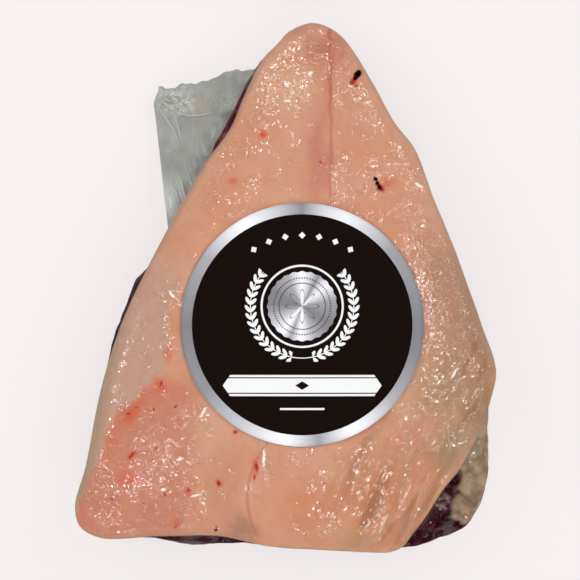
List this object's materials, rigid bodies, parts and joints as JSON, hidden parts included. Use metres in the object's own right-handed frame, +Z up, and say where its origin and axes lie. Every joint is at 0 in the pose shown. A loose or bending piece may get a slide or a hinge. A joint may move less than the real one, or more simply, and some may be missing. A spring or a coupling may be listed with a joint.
{
  "type": "vacuum-packed beef rump cap",
  "caption": "Boneless beef rump cap with a thick fat cap on dark lean, sealed in clear vacuum film with a loose bag end and a round label, lying fat side up.",
  "frame": {"origin": "middle of the footprint, on the surface that the pack lies on", "axes": "+Z up through the fat side, +Y from the broad, thick end to the narrow tip, +X to the right as seen from above with the tip away from the viewer"},
  "size_m": [0.2094, 0.265, 0.0486],
  "materials": {
    "vacuum_film": "clear glossy shrink film, skin tight, with the fat and the lean showing through",
    "beef_fat": "moist, peach to cream fat",
    "beef_lean": "moist, dark purple red muscle",
    "label_print": "satin black print with a silver rim"
  },
  "bodies": {
    "root": {"vacuum_bag": "vacuum_film", "label": "label_print"}
  },
  "joints": []
}
